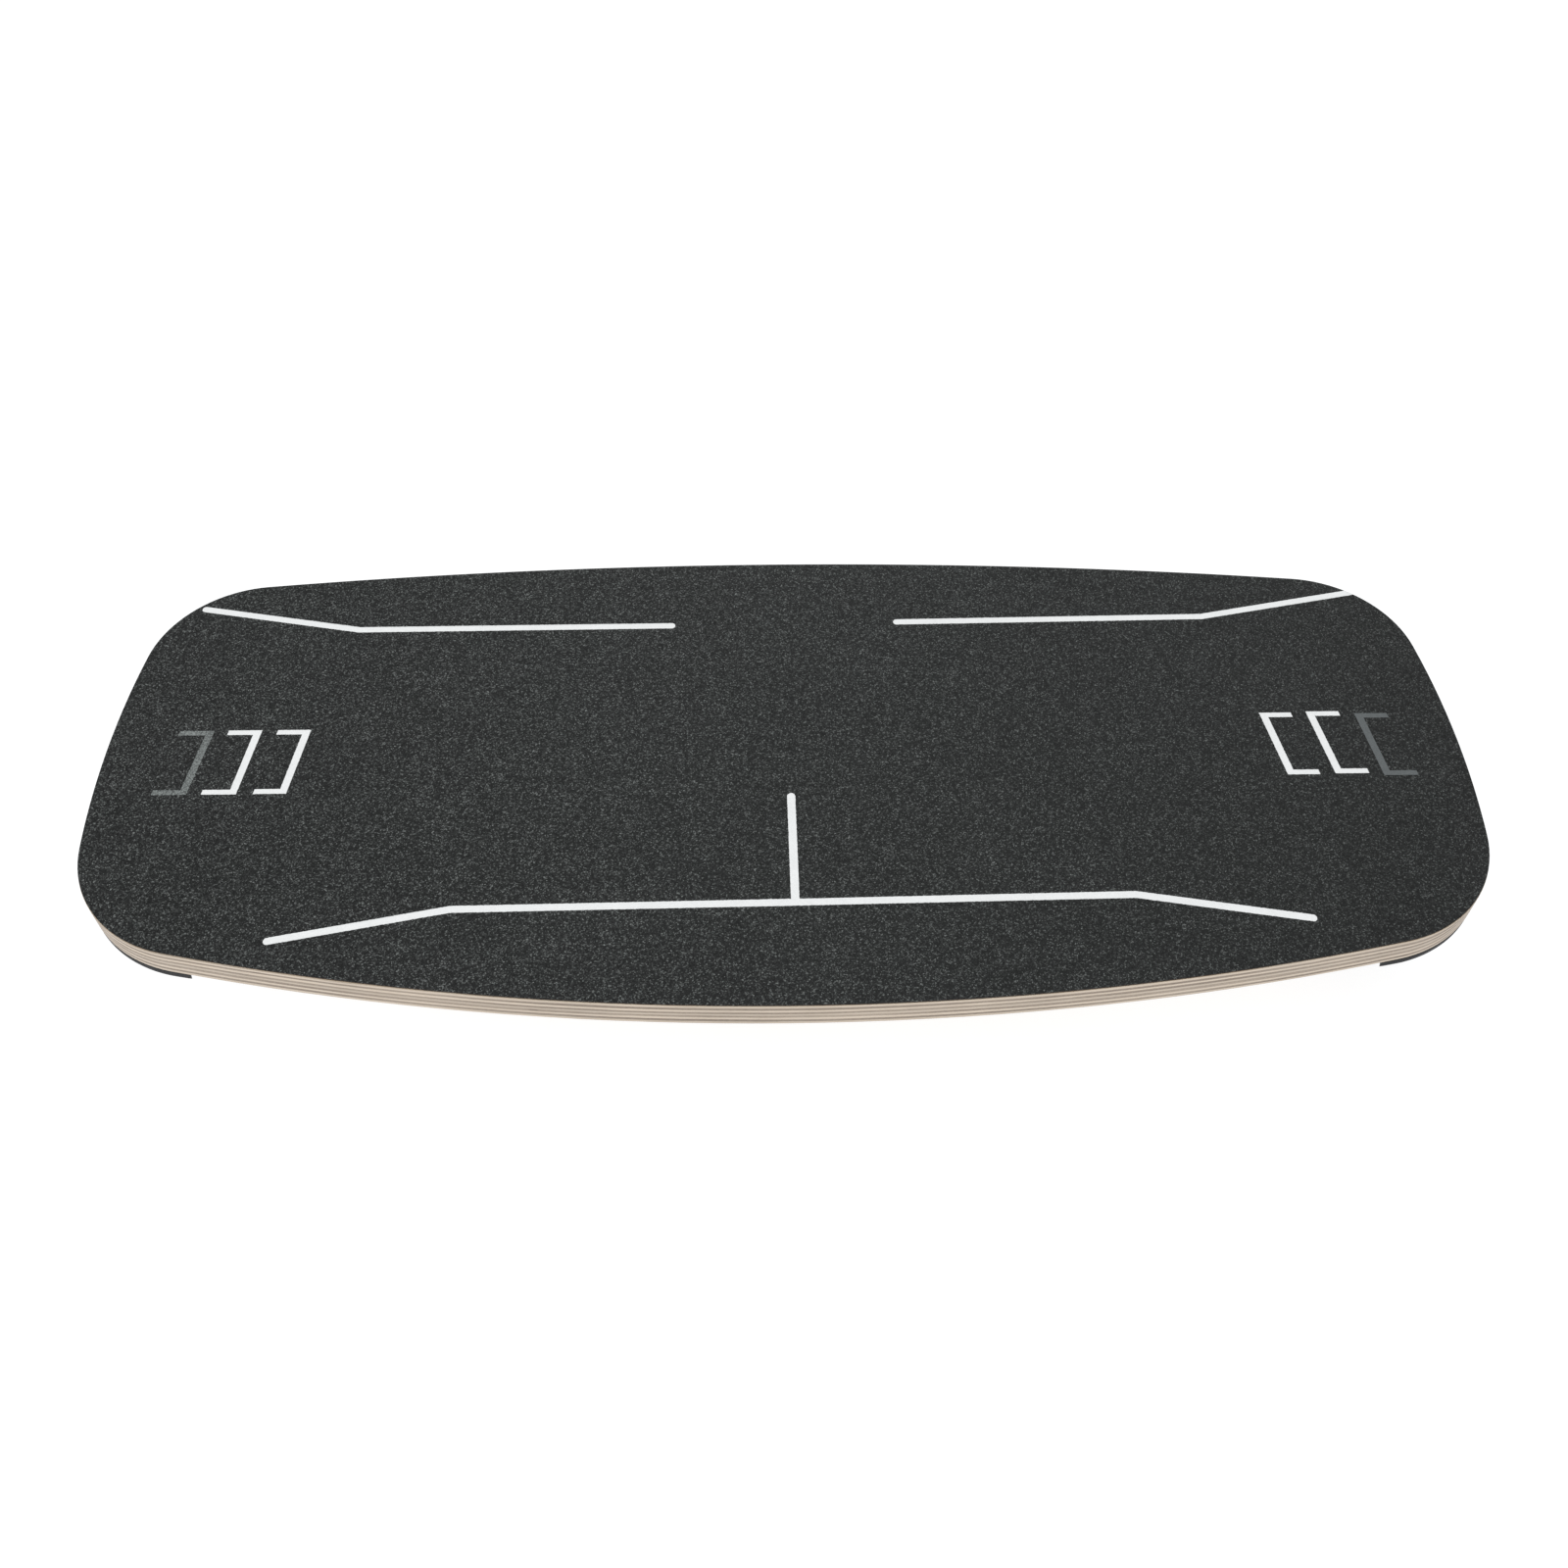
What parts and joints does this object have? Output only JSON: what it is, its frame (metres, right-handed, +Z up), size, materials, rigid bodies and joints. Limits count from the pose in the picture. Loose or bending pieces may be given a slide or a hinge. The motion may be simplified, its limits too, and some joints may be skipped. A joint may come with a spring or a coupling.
{
  "type": "balance board",
  "caption": "Long plywood balance board with a charcoal grip top marked with foot lines, rubber end pads and a side-to-side rocker of curved rails under its middle.",
  "frame": {"origin": "on the ground under the middle of the board, with the board standing level on its rocker", "axes": "+X along the board towards the user's right foot, +Y from the front edge to the back edge, +Z up"},
  "size_m": [0.8, 0.331, 0.0982],
  "materials": {
    "plywood": "birch plywood, sanded edge with visible plies, clear matt sealer",
    "grip": "charcoal abrasive grip sheet, fine grit",
    "grip_print": "flat ink printed on the grit, white with two grey marks",
    "pad_rubber": "black moulded rubber, matt",
    "tread_rubber": "dark grey rubber with a fine texture",
    "screw_steel": "zinc plated",
    "beech": "turned beech, unfinished"
  },
  "bodies": {
    "root": {"deck": "plywood", "grip_sheet": "grip", "end_pad_left": "pad_rubber", "end_pad_right": "pad_rubber", "pad_screw_left_back": "screw_steel", "pad_screw_left_front": "screw_steel", "pad_screw_left_end_back": "screw_steel", "pad_screw_left_end_front": "screw_steel", "pad_screw_right_back": "screw_steel", "pad_screw_right_front": "screw_steel", "pad_screw_right_end_back": "screw_steel", "pad_screw_right_end_front": "screw_steel", "rocker_rail_front": "plywood", "rocker_rail_back": "plywood", "rocker_tread_front": "tread_rubber", "rocker_tread_back": "tread_rubber", "rail_screw_front_left": "screw_steel", "rail_screw_front_middle": "screw_steel", "rail_screw_front_right": "screw_steel", "rail_screw_back_left": "screw_steel", "rail_screw_back_middle": "screw_steel", "rail_screw_back_right": "screw_steel", "tie_dowel_left": "beech", "tie_dowel_right": "beech"}
  },
  "joints": []
}
